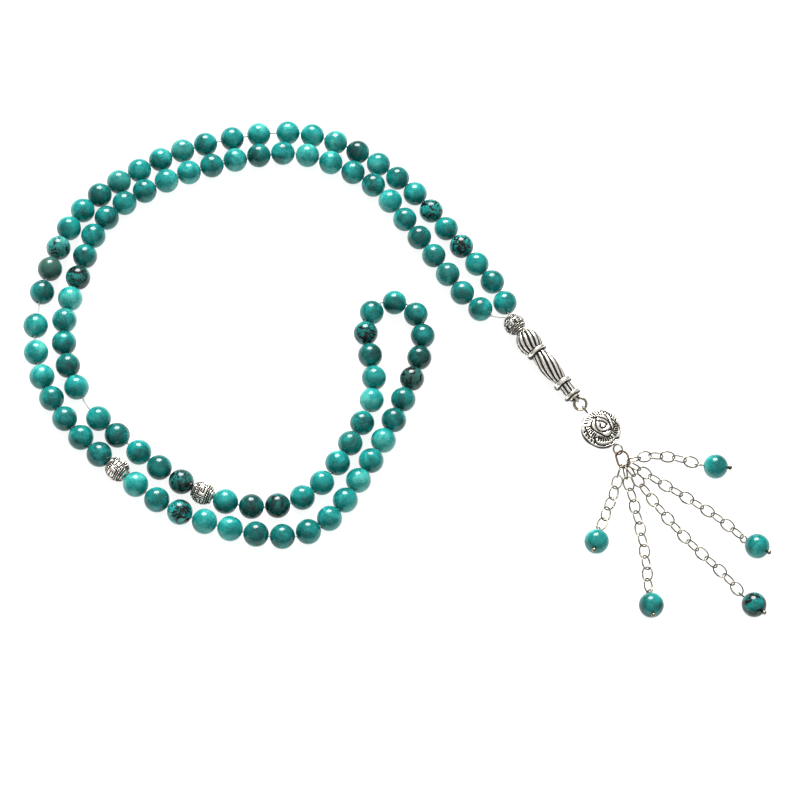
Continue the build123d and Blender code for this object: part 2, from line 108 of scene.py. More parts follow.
def add_mesh(name: str, vertices: Sequence, edges: Sequence, faces: Sequence) -> bpy.types.Object:
    """Add an object made of given vertices, edges and faces.

    Args:
        name: The object's name.
        vertices: Vertex positions.
        edges: Pairs of vertex numbers.
        faces: Lists of vertex numbers.

    Returns:
        The new object.
    """
    mesh = bpy.data.meshes.new(name)
    mesh.from_pydata(vertices, edges, faces)
    piece = bpy.data.objects.new(name, mesh)
    bpy.context.scene.collection.objects.link(piece)
    return piece


def add_shapes(name: str, shapes: Sequence[Tuple[np.ndarray, np.ndarray]]) -> bpy.types.Object:
    """Add one object that holds several shapes.

    Args:
        name: The object's name.
        shapes: Vertices and faces of each shape.

    Returns:
        The new object.
    """
    starts = np.cumsum([0] + [len(rows) for rows, _ in shapes])
    rows = np.vstack([rows for rows, _ in shapes])
    faces = np.vstack([faces + start for (_, faces), start in zip(shapes, starts)])
    return add_mesh(name, rows.tolist(), [], faces.tolist())


def face_outward(piece: bpy.types.Object) -> bpy.types.Object:
    """Turn the faces of closed shapes outward and shade them smooth.

    Args:
        piece: The object that holds the shapes.

    Returns:
        The same object.
    """
    only(piece)
    bpy.ops.object.mode_set(mode="EDIT")
    bpy.ops.mesh.select_all(action="SELECT")
    bpy.ops.mesh.normals_make_consistent(inside=False)
    bpy.ops.object.mode_set(mode="OBJECT")
    bpy.ops.object.shade_smooth()
    return piece


def turn(name: str, outline: Sequence[Point], steps: int) -> bpy.types.Object:
    """Turn a closed outline about Z, as on a lathe.

    Args:
        name: The object's name.
        outline: Radius and height of each corner, in order round the section.
        steps: Number of steps in the full turn.

    Returns:
        The turned object, smooth shaded, with its normals outward.
    """
    corners = [(radius, 0.0, height) for radius, height in outline]
    count = len(corners)
    edges = [(k, (k + 1) % count) for k in range(count)]
    piece = add_mesh(name, corners, edges, [])
    only(piece)
    bpy.ops.object.mode_set(mode="EDIT")
    bpy.ops.mesh.select_all(action="SELECT")
    bpy.ops.mesh.spin(steps=steps, angle=FULL_TURN, center=(0, 0, 0), axis=(0, 0, 1))
    bpy.ops.mesh.select_all(action="SELECT")
    bpy.ops.mesh.remove_doubles(threshold=0.0005)
    bpy.ops.mesh.delete_loose()
    bpy.ops.object.mode_set(mode="OBJECT")
    return face_outward(piece)


def points_of(mesh: bpy.types.Mesh) -> np.ndarray:
    """Vertex positions of a mesh as rows.

    Args:
        mesh: The mesh to read.

    Returns:
        An array with one row for each vertex.
    """
    flat = np.zeros(len(mesh.vertices) * 3)
    mesh.vertices.foreach_get("co", flat)
    return flat.reshape(-1, 3)


def move_points(mesh: bpy.types.Mesh, rows: np.ndarray) -> None:
    """Put the vertices of a mesh at new positions.

    Args:
        mesh: The mesh to change.
        rows: One position for each vertex.
    """
    mesh.vertices.foreach_set("co", rows.reshape(-1))
    mesh.update()


def set_values(mesh: bpy.types.Mesh, name: str, values: np.ndarray) -> None:
    """Store one number or one vector for each vertex, for a finish to read.

    Args:
        mesh: The mesh that keeps the values.
        name: Attribute name.
        values: A column of numbers, or rows of three.
    """
    if values.ndim == 1:
        layer = mesh.attributes.new(name, "FLOAT", "POINT")
        layer.data.foreach_set("value", values.astype(np.float32))
        return
    layer = mesh.attributes.new(name, "FLOAT_VECTOR", "POINT")
    layer.data.foreach_set("vector", values.astype(np.float32).reshape(-1))


def placing(origin: Vector, along: Vector, side: Vector) -> Matrix:
    """Matrix from a piece's own millimetres to its place in the row frame.

    Args:
        origin: Where the piece's origin goes, in metres.
        along: Where its Z axis points.
        side: A direction that its X axis leans towards.

    Returns:
        The scaled placing matrix.
    """
    z = along.normalized()
    x = (side - z * side.dot(z)).normalized()
    y = z.cross(x)
    turned = Matrix((x, y, z)).transposed().to_4x4()
    return Matrix.Translation(origin) @ turned @ Matrix.Scale(MM, 4)


def underside(mesh: bpy.types.Mesh) -> np.ndarray:
    """Painted shade: how dark each vertex is made on its sides and underside, from the direction its normal
    faces.

    Args:
        mesh: The mesh, already in place.

    Returns:
        0 on top, rising to the darkness of the underside.
    """
    flat = np.zeros(len(mesh.vertices) * 3, np.float32)
    mesh.vertex_normals.foreach_get("vector", flat)
    downward = -flat.reshape(-1, 3)[:, 2].astype(float)
    return UNDERSIDE_SHADE * smooth_step(downward, -0.62, 0.10)


def smooth_step(values: np.ndarray, low: float, high: float) -> np.ndarray:
    """Ease from 0 at low to 1 at high.

    Args:
        values: Numbers to ease.
        low: Where the result leaves 0.
        high: Where the result reaches 1.

    Returns:
        The eased numbers.
    """
    share = np.clip((values - low) / (high - low), 0.0, 1.0)
    return share * share * (3.0 - 2.0 * share)


def rounded_line(corners: Sequence[Point], per_run: int = 8) -> List[Point]:
    """A smooth line through given points.

    Args:
        corners: The points it passes through.
        per_run: Short runs between two points.

    Returns:
        Points along the line.
    """
    rows = [np.array(corner, float) for corner in corners]
    if len(rows) == 2:
        return [tuple(row) for row in rows]
    ends = [2 * rows[0] - rows[1]] + rows + [2 * rows[-1] - rows[-2]]
    line = []
    for k in range(1, len(ends) - 2):
        p0, p1, p2, p3 = ends[k - 1:k + 3]
        for step in range(per_run):
            t = step / per_run
            line.append(tuple(0.5 * (2 * p1 + (p2 - p0) * t + (2 * p0 - 5 * p1 + 4 * p2 - p3) * t ** 2
                                     + (3 * p1 - p0 - 3 * p2 + p3) * t ** 3)))
    line.append(tuple(rows[-1]))
    return line


def nearness(rows: np.ndarray, lines: Sequence[Sequence[Point]]) -> np.ndarray:
    """Distance from flat points to the nearest of several lines.

    Args:
        rows: Points, two numbers each.
        lines: Lines, each a list of points.

    Returns:
        One distance for each point.
    """
    best = np.full(len(rows), FAR)
    for line in lines:
        for start, end in zip(line[:-1], line[1:]):
            a, b = np.array(start), np.array(end)
            run = b - a
            share = np.clip(((rows - a) @ run) / max(run @ run, 1e-12), 0.0, 1.0)
            gap = rows - a - share[:, None] * run
            best = np.minimum(best, np.hypot(gap[:, 0], gap[:, 1]))
    return best


def solids_of(node: str) -> List[Tuple[np.ndarray, np.ndarray]]:
    """Vertices and faces of each separate solid in a CAD node.

    Args:
        node: The node's name.

    Returns:
        For each solid, its vertex positions and its triangles' corner numbers.
    """
    mesh = frame["nodes"][node].data
    rows = points_of(mesh)
    keys, same = np.unique(np.round(rows / 1e-7).astype(np.int64), axis=0, return_inverse=True)
    same = same.reshape(-1)
    faces = [[int(same[v]) for v in face.vertices] for face in mesh.polygons]
    parent = list(range(len(keys)))

    def root(k: int) -> int:
        """Find the group that a vertex belongs to."""
        while parent[k] != k:
            parent[k] = parent[parent[k]]
            k = parent[k]
        return k

    for face in faces:
        first = root(face[0])
        for corner in face[1:]:
            parent[root(corner)] = first
    spots = keys * 1e-7
    groups: Dict[int, List[List[int]]] = {}
    for face in faces:
        groups.setdefault(root(face[0]), []).append(face)
    result = []
    for key in sorted(groups):
        members = groups[key]
        numbers = sorted({corner for face in members for corner in face})
        place = {number: k for k, number in enumerate(numbers)}
        result.append((spots[numbers], np.array([[place[c] for c in face[:3]] for face in members])))
    return result


def main_axes(rows: np.ndarray) -> Tuple[Vector, Vector, Vector]:
    """Longest, middle and shortest direction of a cloud of points.

    Args:
        rows: The points.

    Returns:
        Three unit vectors.
    """
    spread = rows - rows.mean(0)
    _, directions = np.linalg.eigh(spread.T @ spread)
    return tuple(Vector(directions[:, k]) for k in (2, 1, 0))


def joint(name: str) -> Tuple[Vector, Vector]:
    """Pivot and axis of one of the record's joints.

    Args:
        name: The joint's name.

    Returns:
        Its position in metres and its unit axis.
    """
    entry = next(item for item in frame["joints"] if item["name"] == name)
    return Vector(entry["pos_m"]), Vector(entry["axis"]).normalized()


# ---- finishes ----------------------------------------------------------------
class Graph:
    """Builds the node tree of one finish."""

    def __init__(self, name: str) -> None:
        """Start an empty material.

        Args:
            name: The material's name.
        """
        self.material = bpy.data.materials.new(name)
        self.material.use_nodes = True
        self.tree = self.material.node_tree
        self.surface = self.tree.nodes["Principled BSDF"]

    def node(self, kind: str, **settings) -> bpy.types.Node:
        """Add a node; settings name its properties.

        Args:
            kind: The node's type.
            settings: Properties to set on it.

        Returns:
            The node.
        """
        made = self.tree.nodes.new(kind)
        for key, value in settings.items():
            setattr(made, key, value)
        return made

    def feed(self, socket: Socket, value: Union[Value, Tone]) -> None:
        """Link an output to a socket, or set the socket to a constant.

        Args:
            socket: The input socket.
            value: An output socket, a number or a colour.
        """
        if isinstance(value, Socket):
            self.tree.links.new(value, socket)
        else:
            socket.default_value = (*value, 1.0) if isinstance(value, tuple) else value

    def maths(self, operation: str, first: Value, second: Value = 0.0) -> Socket:
        """One sum on one or two values.

        Args:
            operation: The operation's name.
            first: An output socket or a number.
            second: An output socket or a number.

        Returns:
            The result's socket.
        """
        made = self.node("ShaderNodeMath", operation=operation)
        self.feed(made.inputs[0], first)
        self.feed(made.inputs[1], second)
        return made.outputs[0]

    def reach(self, value: Value, low: float, high: float, to_low: float, to_high: float) -> Socket:
        """Map a value from one range onto another, smoothly and clamped.

        Args:
            value: The value's socket.
            low: Start of its range.
            high: End of its range.
            to_low: Result at the start.
            to_high: Result at the end.

        Returns:
            The result's socket.
        """
        made = self.node("ShaderNodeMapRange", interpolation_type="SMOOTHSTEP")
        for k, item in enumerate((value, low, high, to_low, to_high)):
            self.feed(made.inputs[k], item)
        return made.outputs[0]

    def grain(self, scale: float, detail: float, warp: float = 0.0, shifted: bool = False,
              rough: float = 0.5) -> Socket:
        """Noise over the piece, with its size given per millimetre.

        Args:
            scale: Cells per millimetre.
            detail: Octaves.
            warp: Distortion.
            shifted: Whether each bead has a place of its own in the noise.
            rough: Strength of the small octaves.

        Returns:
            The noise value's socket.
        """
        sized = self.node("ShaderNodeVectorMath", operation="SCALE")
        self.feed(sized.inputs[0], self.node("ShaderNodeTexCoord").outputs["Object"])
        self.feed(sized.inputs["Scale"], 1.0 / MM)
        where = sized.outputs[0]
        if shifted:
            own = self.node("ShaderNodeAttribute", attribute_name="grain_shift")
            added = self.node("ShaderNodeVectorMath", operation="ADD")
            self.feed(added.inputs[0], where)
            self.feed(added.inputs[1], own.outputs["Vector"])
            where = added.outputs[0]
        noise = self.node("ShaderNodeTexNoise")
        self.feed(noise.inputs["Vector"], where)
        settings = {"Scale": scale, "Detail": detail, "Roughness": rough, "Distortion": warp}
        for name, value in settings.items():
            self.feed(noise.inputs[name], value)
        return noise.outputs[0]

    def value_of(self, name: str) -> Socket:
        """A per-vertex number stored on the mesh."""
        return self.node("ShaderNodeAttribute", attribute_name=name).outputs["Fac"]

    def ramp(self, value: Value, stops: Sequence[Tuple[float, Colour]]) -> Socket:
        """Colours along a value.

        Args:
            value: The value's socket.
            stops: Positions and their colours.

        Returns:
            The colour's socket.
        """
        made = self.node("ShaderNodeValToRGB")
        band = made.color_ramp
        while len(band.elements) < len(stops):
            band.elements.new(0.5)
        for element, (position, colour) in zip(band.elements, stops):
            element.position = position
            element.color = (*colour, 1.0)
        self.feed(made.inputs[0], value)
        return made.outputs[0]

    def mix(self, share: Value, first: Tone, second: Tone) -> Socket:
        """Mix two colours.

        Args:
            share: How much of the second.
            first: A colour or its socket.
            second: A colour or its socket.

        Returns:
            The mixed colour's socket.
        """
        made = self.node("ShaderNodeMix", data_type="RGBA")
        self.feed(made.inputs[0], share)
        self.feed(made.inputs[6], first)
        self.feed(made.inputs[7], second)
        return made.outputs[2]

    def finish(self, colour: Tone, **inputs: Union[Value, Tone]) -> bpy.types.Material:
        """Set the surface and hand the material over.

        Args:
            colour: Base colour, or its socket.
            inputs: Other surface inputs, with underscores for spaces.

        Returns:
            The material.
        """
        self.feed(self.surface.inputs["Base Color"], colour)
        for key, value in inputs.items():
            self.feed(self.surface.inputs[key.replace("_", " ")], value)
        return self.material


@dataclass(frozen=True)
class StoneFinish:
    """Polished turquoise with clouds of light and dark and, on some beads, a dark matrix."""

    deep: Colour = (0.0005, 0.034, 0.031)
    middle: Colour = (0.0008, 0.108, 0.098)
    light: Colour = (0.004, 0.245, 0.226)
    pale: Colour = (0.090, 0.44, 0.380)
    olive: Colour = (0.040, 0.075, 0.055)
    matrix: Colour = (0.002, 0.003, 0.003)
    tint_reach: float = 0.19       # how far a bead's own tone moves it along the colours
    patch_reach: float = 0.07      # how far its veining widens the dark patches

    def build(self) -> bpy.types.Material:
        """Make the stone's material."""
        graph = Graph("turquoise_stone")
        cloud = graph.grain(0.20, 4.0, 0.5, True, 0.55)
        shade = graph.maths("ADD", graph.maths("MULTIPLY", graph.value_of("tint"), self.tint_reach), cloud)
        fine = graph.grain(1.6, 3.0, 0.2, True)
        shade = graph.maths("ADD", shade, graph.reach(fine, 0.3, 0.7, -0.05, 0.05))
        stops = [(0.20, self.deep), (0.42, self.middle), (0.62, self.light), (0.88, self.pale)]
        stone = graph.ramp(shade, stops)
        grey = graph.maths("MULTIPLY", graph.value_of("olive"), graph.reach(cloud, 0.25, 0.75, 1.0, 0.55))
        stone = graph.mix(grey, stone, self.olive)
        wander = graph.maths("SUBTRACT", graph.grain(0.13, 5.0, 1.2, True, 0.66), 0.5)
        line = graph.reach(graph.maths("ABSOLUTE", wander), 0.012, 0.030, 1.0, 0.0)
        veined = graph.value_of("veining")
        web = graph.grain(0.26, 4.0, 1.6, True, 0.62)
        web = graph.maths("ADD", web, graph.maths("MULTIPLY", veined, self.patch_reach))
        patch = graph.reach(web, 0.588, 0.622, 0.0, 1.0)
        patch = graph.maths("MULTIPLY", patch, graph.reach(veined, 0.24, 0.46, 0.0, 1.0))
        line = graph.maths("MULTIPLY", line, graph.reach(veined, 0.0, 0.75, 0.0, 1.0))
        dark = graph.maths("MAXIMUM", line, patch)
        colour = graph.mix(dark, stone, self.matrix)
        gloss = graph.reach(fine, 0.2, 0.8, 0.15, 0.22)
        return graph.finish(colour, Roughness=gloss, IOR=1.42)


@dataclass(frozen=True)
class SilverFinish:
    """Antique silver: bright where it is rubbed, black where it is carved, and darkened by painted shade on
    its underside and sides.
    """

    bright: Colour = (0.93, 0.89, 0.81)
    warm: Colour = (0.52, 0.41, 0.27)
    black: Colour = (0.006, 0.005, 0.004)

    def build(self) -> bpy.types.Material:
        """Make the silver's material."""
        graph = Graph("antique_silver_metal")
        cloud = graph.grain(0.55, 3.0, 0.6)
        metal = graph.mix(graph.reach(cloud, 0.52, 0.72, 0.0, 0.55), self.bright, self.warm)
        # Per-vertex darkness: black patina in the grooves, plus painted shade on undersides, sides and the
        # rose's rim.
        patina_and_shade = graph.value_of("patina_and_shade")
        smut = graph.reach(graph.grain(1.8, 3.0), 0.35, 0.75, -0.10, 0.24)
        dark = graph.reach(graph.maths("ADD", patina_and_shade, smut), 0.12, 0.42, 0.0, 1.0)
        colour = graph.mix(dark, metal, self.black)
        return graph.finish(colour, Metallic=graph.reach(dark, 0.0, 1.0, 1.0, 0.3),
                            Roughness=graph.reach(dark, 0.0, 1.0, 0.24, 0.55))


@dataclass(frozen=True)
class WireFinish:
    """Plated wire with a dark bloom."""

    name: str
    bright: Colour
    dull: Colour
    roughness: float = 0.3

    def build(self) -> bpy.types.Material:
        """Make the wire's material."""
        graph = Graph(self.name)
        bloom = graph.reach(graph.grain(0.9, 3.0, 0.8), 0.40, 0.66, 0.0, 1.0)
        colour = graph.mix(bloom, self.bright, self.dull)
        rough = graph.reach(bloom, 0.0, 1.0, self.roughness, 0.45)
        return graph.finish(colour, Metallic=1.0, Roughness=rough)


@dataclass(frozen=True)
class StringFinish:
    """Waxed nylon, pale."""

    colour: Colour = (0.62, 0.62, 0.58)
    worn: Colour = (0.38, 0.38, 0.36)

    def build(self) -> bpy.types.Material:
        """Make the string's material."""
        graph = Graph("nylon_string")
        colour = graph.mix(graph.grain(1.2, 2.0), self.colour, self.worn)
        return graph.finish(colour, Roughness=0.42, IOR=1.5)


FINISHES: Dict[Slot, bpy.types.Material] = {
    Slot.STONE: StoneFinish().build(),
    Slot.SILVER: SilverFinish().build(),
    Slot.WIRE: WireFinish("antique_wire_metal", (0.30, 0.275, 0.215), (0.060, 0.052, 0.038)).build(),
    Slot.BRONZE: WireFinish("bronze_wire_metal", (0.26, 0.17, 0.10), (0.06, 0.028, 0.018)).build(),
    Slot.STRING: StringFinish().build(),
}


def dress(piece: bpy.types.Object, slot: Slot, nodes: Sequence[str]) -> bpy.types.Object:
    """Give a finished piece its material and its body, and hide and log the CAD nodes that it stands for.

    Args:
        piece: The finished piece.
        slot: Its material slot.
        nodes: CAD nodes that it replaces, all on one body.

    Returns:
        The piece.
    """
    piece.data.materials.clear()
    piece.data.materials.append(FINISHES[slot])
    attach(piece, frame["nodes"][nodes[0]]["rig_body"])
    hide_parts(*nodes)
    log.info("%s stands for %s", piece.name, ", ".join(nodes))
    return piece


# ---- stone beads ---------------------------------------------------------------
Bead = Tuple[Vector, Vector, float]      # centre, direction of the bore, radius


@dataclass
class StoneBeads:
    """Every round stone bead, each with a tone and a pattern of its own."""

    sections: int = 7
    bore: float = 0.6         # mm, radius
    tassel_bore: float = 0.45
    steps: int = 40
    rows: int = 22
    easing: float = 0.22      # mm, rounding at the mouths of the bore
    spread: float = 0.45      # how much the beads differ in tone
    smaller: float = 0.022    # largest shrink of a bead's length or width
    # beads with a dark matrix, counted from the collector on the way out and back
    matrix_beads: Tuple[Tuple[str, int, float], ...] = (
        ("beads_outer_1", 3, 0.7), ("beads_outer_1", 5, 0.75), ("beads_outer_4", 5, 0.45),
        ("beads_outer_5", 7, 0.3), ("beads_outer_6", 1, 0.75), ("beads_tip", 3, 0.75),
        ("beads_tip", 9, 0.75), ("beads_inner_6", 0, 0.55), ("beads_inner_6", 3, 0.75),
        ("beads_inner_5", 8, 0.75), ("beads_inner_5", 6, 0.3), ("beads_inner_2", 3, 0.35),
        ("beads_inner_1", 3, 0.3), ("tassel_bead_c", 0, 0.75), ("tassel_bead_b", 0, 0.3),
    )
    # beads of an unusual stone: tone, and how far they turn to grey-green
    odd_beads: Tuple[Tuple[str, int, float, float], ...] = (
        ("beads_outer_4", 5, 1.0, 0.35), ("beads_outer_5", 0, -0.5, 0.85), ("beads_outer_2", 4, 0.8, 0.1),
        ("beads_outer_3", 4, 0.7, 0.3), ("beads_outer_4", 1, 0.6, 0.3), ("beads_tip", 3, -0.6, 0.5),
        ("beads_tip", 5, -0.6, 0.0), ("beads_tip", 12, 0.8, 0.0), ("beads_inner_2", 0, 0.9, 0.1),
        ("beads_inner_5", 2, -0.6, 0.0), ("beads_inner_5", 8, -0.1, 0.2), ("beads_inner_6", 3, -0.3, 0.3),
        ("tassel_bead_a", 0, 0.35, 0.0), ("tassel_bead_b", 0, 0.1, 0.0), ("tassel_bead_c", 0, -0.2, 0.0),
        ("tassel_bead_d", 0, -0.2, 0.1), ("tassel_bead_e", 0, 0.6, 0.1),
    )

    def template(self, radius: float, bore: float) -> Tuple[np.ndarray, np.ndarray]:
        """Turn one bored bead.

        Args:
            radius: Bead radius in millimetres.
            bore: Bore radius in millimetres.

        Returns:
            Its vertices and its four-cornered faces.
        """
        mouth = math.asin((bore + self.easing) / radius)
        outline = []
        for k in range(self.rows + 1):
            turned = mouth + (math.pi - 2 * mouth) * k / self.rows
            outline.append((radius * math.sin(turned), radius * math.cos(turned)))
        depth = radius * math.cos(mouth) - 0.6 * self.easing
        inner = [(bore, -depth), (bore, -depth / 2), (bore, depth / 2), (bore, depth)]
        bead = turn("bead_template", outline + inner, self.steps)
        rows = points_of(bead.data)
        faces = np.array([list(face.vertices) for face in bead.data.polygons])
        bpy.data.objects.remove(bead)
        return rows, faces

    def centre_and_axis(self, rows: np.ndarray, faces: np.ndarray) -> Bead:
        """Find where a CAD bead lies.

        Args:
            rows: Its vertices.
            faces: Its triangles.

        Returns:
            Its centre, the direction of its bore and its radius, in metres.
        """
        system = np.hstack([2 * rows, np.ones((len(rows), 1))])
        solved = np.linalg.lstsq(system, (rows ** 2).sum(1), rcond=None)[0]
        centre = solved[:3]
        radius = math.sqrt(solved[3] + centre @ centre)
        corners = rows[faces]
        normals = np.cross(corners[:, 1] - corners[:, 0], corners[:, 2] - corners[:, 0])
        normals /= np.maximum(np.linalg.norm(normals, axis=1), 1e-15)[:, None]
        outward = corners.mean(1) - centre
        lean = np.abs((normals * outward).sum(1)) / np.maximum(np.linalg.norm(outward, axis=1), 1e-12)
        wall = faces[lean < 0.75]
        return Vector(centre), main_axes(rows[np.unique(wall)])[0], radius

    def in_order(self, node: str, before: Vector) -> List[Bead]:
        """Find a node's beads and put them in their order on the string.

        Args:
            node: The node's name.
            before: Where the string comes from.

        Returns:
            The beads, first to last.
        """
        found = [self.centre_and_axis(*solid) for solid in solids_of(node)]
        ordered: List[Bead] = []
        while found:
            last = ordered[-1][0] if ordered else before
            found.sort(key=lambda item: (item[0] - last).length)
            ordered.append(found.pop(0))
        return ordered

    def build_group(self, node: str, bore: float, before: Vector) -> Vector:
        """Build the beads of one CAD node as one piece.

        Args:
            node: The node's name.
            bore: Bore radius in millimetres.
            before: Where the string comes from.

        Returns:
            The centre of the node's last bead.
        """
        chance = random.Random("misbaha " + node)
        veined = {place: amount for name, place, amount in self.matrix_beads if name == node}
        odd = {place: (tone, grey) for name, place, tone, grey in self.odd_beads if name == node}
        ordered = self.in_order(node, before)
        shape, faces = self.template(ordered[0][2] / MM, bore)
        shapes = []
        looks: Dict[str, List[np.ndarray]] = {"tint": [], "veining": [], "olive": [], "grain_shift": []}
        for place, (centre, axis, _) in enumerate(ordered):
            width = 1.0 - self.smaller * chance.random()
            length = 1.0 - 0.5 * self.smaller * chance.random()
            spin = Matrix.Rotation(chance.uniform(0, FULL_TURN), 4, "Z")
            matrix = np.array(placing(centre, axis, Vector((0.1, 0.2, 1.0))) @ spin)
            sized = shape * np.array([width, width, length])
            shapes.append((sized @ matrix[:3, :3].T + matrix[:3, 3], faces))
            tone = max(-1.0, min(1.0, chance.gauss(0.0, self.spread)))
            tone, grey = odd.get(place, (tone, max(0.0, chance.gauss(-0.05, 0.1))))
            vein = veined.get(place, 0.25 * max(0.0, chance.gauss(-0.8, 1.0)))
            shift = [chance.uniform(0, 400) for _ in range(3)]
            for key, value in zip(looks, (tone, vein, grey, shift)):
                looks[key].append(np.repeat([value], len(shape), axis=0))
        name = node.replace("beads", "stones") if node.startswith("beads") else node + "_stone"
        piece = add_shapes(name, shapes)
        for key, columns in looks.items():
            set_values(piece.data, key, np.concatenate(columns))
        only(piece)
        bpy.ops.object.shade_smooth()
        dress(piece, Slot.STONE, [node])
        return ordered[-1][0]

    def build(self) -> None:
        """Build all the rows, the two loose beads and the tassel's five."""
        last = joint("leader_swing")[0]
        outward = [f"beads_outer_{k}" for k in range(1, self.sections + 1)]
        homeward = [f"beads_inner_{k}" for k in range(self.sections, 0, -1)]
        for node in outward + ["beads_tip"] + homeward:
            last = self.build_group(node, self.bore, last)
        for node in ("slack_bead_outer", "slack_bead_inner"):
            self.build_group(node, self.bore, last)
        for letter in "abcde":
            self.build_group("tassel_bead_" + letter, self.tassel_bore, last)


# ---- engraved silver beads ---------------------------------------------------------------
@dataclass
class EngravedBead:
    """A barrel-shaped silver bead with a key pattern cut round its middle."""

    node: str
    name: str
    diameter: float
    length: float
    units: int = 5
    bore: float = 0.6
    depth: float = 0.36
    groove: float = 0.20
    steps: int = 180
    rows: int = 72
    turned: float = 0.0
    taper: float = 0.86        # how far the section narrows towards a mouth
    lip: float = 0.35
    sink: float = 0.10         # mm, soft hollow beside a groove
    tick_band: Point = (0.46, 0.64)
    ticks_per_unit: int = 6
    key: Tuple[Tuple[Point, ...], ...] = (
        ((0.10, -0.30), (0.10, 0.30), (0.86, 0.30), (0.86, -0.14), (0.38, -0.14), (0.38, 0.10),
         (0.62, 0.10)),
        ((0.97, -0.30), (0.97, 0.30)),
    )
    rings: Tuple[float, ...] = (-0.80, -0.66, -0.44, 0.44, 0.66, 0.80)

    def outline(self) -> List[Point]:
        """The bead's section: a barrel with a small collar at each mouth."""
        half, radius = self.length / 2, self.diameter / 2
        corners = []
        for k in range(self.rows + 1):
            height = half * math.cos(math.pi * k / self.rows)
            share = abs(height) / half
            belly = radius * math.sqrt(max(0.0, 1.0 - (self.taper * share) ** 2.3))
            corners.append((max(belly, self.bore + self.lip), height))
        return corners + [(self.bore, share * half) for share in (-1, -0.5, 0.5, 1)]

    def pattern_gap(self, rows: np.ndarray) -> np.ndarray:
        """Distance from each point to the nearest engraved line.

        Args:
            rows: The bead's points.

        Returns:
            One distance in millimetres for each point.
        """
        angle = np.arctan2(rows[:, 1], rows[:, 0]) + math.pi + self.turned
        unit_width = math.pi * self.diameter / self.units
        across = (angle / FULL_TURN * self.units) % 1.0
        half = self.length / 2
        height = rows[:, 2] / half
        flat = np.column_stack([across * unit_width, height * half])
        gap = nearness(flat, [[(u * unit_width, v * half) for u, v in line] for line in self.key])
        for ring in self.rings:
            gap = np.minimum(gap, np.abs(flat[:, 1] - ring * half))
        ticks = np.abs(((angle / FULL_TURN * self.units * self.ticks_per_unit) % 1.0) - 0.5)
        low, high = self.tick_band
        in_band = (np.abs(height) > low) & (np.abs(height) < high)
        return np.minimum(gap, np.where(in_band, ticks * unit_width / self.ticks_per_unit, FAR))

    def build(self, place: Vector, axis: Vector) -> bpy.types.Object:
        """Turn, engrave and place the bead.

        Args:
            place: Its centre in metres.
            axis: Direction of its bore.

        Returns:
            The dressed piece.
        """
        bead = turn(self.name, self.outline(), self.steps)
        rows = points_of(bead.data)
        out = np.hypot(rows[:, 0], rows[:, 1])
        gap = self.pattern_gap(rows)
        outer = out > self.bore + min(0.3, self.lip - 0.02)
        cut = np.where(outer, 1.0 - smooth_step(gap, 0.35 * self.groove, self.groove), 0.0)
        soft = np.where(outer, 1.0 - smooth_step(gap, 0.0, 2.4 * self.groove), 0.0)
        rows[:, :2] *= (1.0 - (self.depth * cut + self.sink * soft) / np.maximum(out, 0.5) * outer)[:, None]
        move_points(bead.data, rows)
        bead.data.transform(placing(place, axis, UP))
        # Black patina in the grooves, plus painted shade on the underside and sides.
        set_values(bead.data, "patina_and_shade", np.maximum(cut, underside(bead.data)))
        return dress(bead, Slot.SILVER, [self.node])


